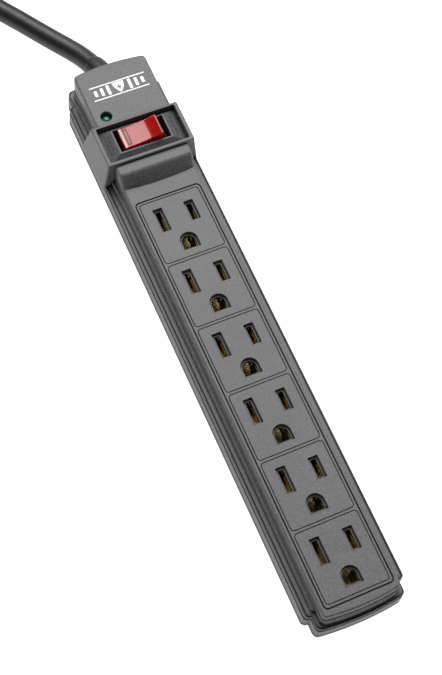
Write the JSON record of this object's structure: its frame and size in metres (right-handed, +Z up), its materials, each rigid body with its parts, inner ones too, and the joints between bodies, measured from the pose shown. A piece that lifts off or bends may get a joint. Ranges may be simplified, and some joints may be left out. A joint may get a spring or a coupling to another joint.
{
  "type": "surge protector power strip",
  "caption": "Long stepped grey outlet strip with a raised rocker switch housing at one end, a green lamp, and a black cord folded into a tied hank behind it that ends in a three-pin plug.",
  "frame": {"origin": "middle of the housing's footprint, on the surface that it stands on", "axes": "+X across the strip, +Y along it towards the cord, +Z up out of the outlets"},
  "size_m": [0.0631, 0.5564, 0.0283],
  "materials": {
    "housing_grey": "fine satin texture",
    "bezel_grey": "fine satin texture",
    "rocker_red": "glossy, translucent",
    "lamp_green": "glossy, translucent",
    "black_plastic": "satin",
    "plug_black": "satin moulded vinyl",
    "cord_jacket": "satin vinyl jacket",
    "tie_fabric": "hook-and-loop weave",
    "brass": "bare strip",
    "steel": "bright",
    "nylon": "natural nylon",
    "board_green": "solder mask",
    "varistor_blue": "epoxy dip",
    "component_yellow": "epoxy case",
    "component_tan": "coated ceramic",
    "wire_black": "wire insulation",
    "wire_white": "wire insulation",
    "wire_green": "wire insulation"
  },
  "bodies": {
    "strip": {"top_cover": "housing_grey", "bottom_cover": "housing_grey", "outlet_face_1": "housing_grey", "outlet_face_2": "housing_grey", "outlet_face_3": "housing_grey", "outlet_face_4": "housing_grey", "outlet_face_5": "housing_grey", "outlet_face_6": "housing_grey", "housing_screw_1": "steel", "housing_screw_2": "steel", "housing_screw_3": "steel", "housing_screw_4": "steel", "housing_screw_5": "steel", "housing_screw_6": "steel", "contact_carrier": "nylon", "neutral_bus": "brass", "hot_bus": "brass", "ground_bus": "brass", "switch_bezel": "bezel_grey", "rocker_axle": "steel", "switch_body": "black_plastic", "line_terminal": "brass", "load_terminal": "brass", "bimetal_blade": "steel", "surge_board": "board_green", "varistor_1": "varistor_blue", "varistor_2": "varistor_blue", "varistor_3": "component_yellow", "filter_capacitor": "component_yellow", "thermal_fuse": "component_tan", "lamp_resistor": "component_tan", "status_led": "lamp_green", "status_lens": "lamp_green", "strain_relief": "cord_jacket", "power_cord": "cord_jacket", "cord_hank": "cord_jacket", "power_cord_tail": "cord_jacket", "cord_tie": "tie_fabric", "line_wire": "wire_black", "load_wire": "wire_black", "neutral_wire": "wire_white", "ground_wire": "wire_green", "plug_body": "plug_black", "plug_hot_blade": "brass", "plug_neutral_blade": "brass", "plug_ground_pin": "brass"},
    "rocker": {"rocker": "rocker_red", "rocker_plunger": "nylon", "plunger_spring": "steel"},
    "contact_arm": {"contact_arm": "brass"}
  },
  "joints": [
    {"name": "rocker_tilt", "type": "hinge", "parent": "strip", "child": "rocker", "pos_m": [0, 0.0832, 0.0185], "axis": [0, 1, 0], "range_deg": [0, 18]},
    {"name": "contact_tilt", "type": "hinge", "parent": "strip", "child": "contact_arm", "pos_m": [0, 0.0832, 0.0083], "axis": [0, 1, 0], "range_deg": [-16.01, 0]}
  ],
  "couplings": [
    {"joint": "contact_tilt", "follows": "rocker_tilt", "ratio": -0.8889}
  ]
}
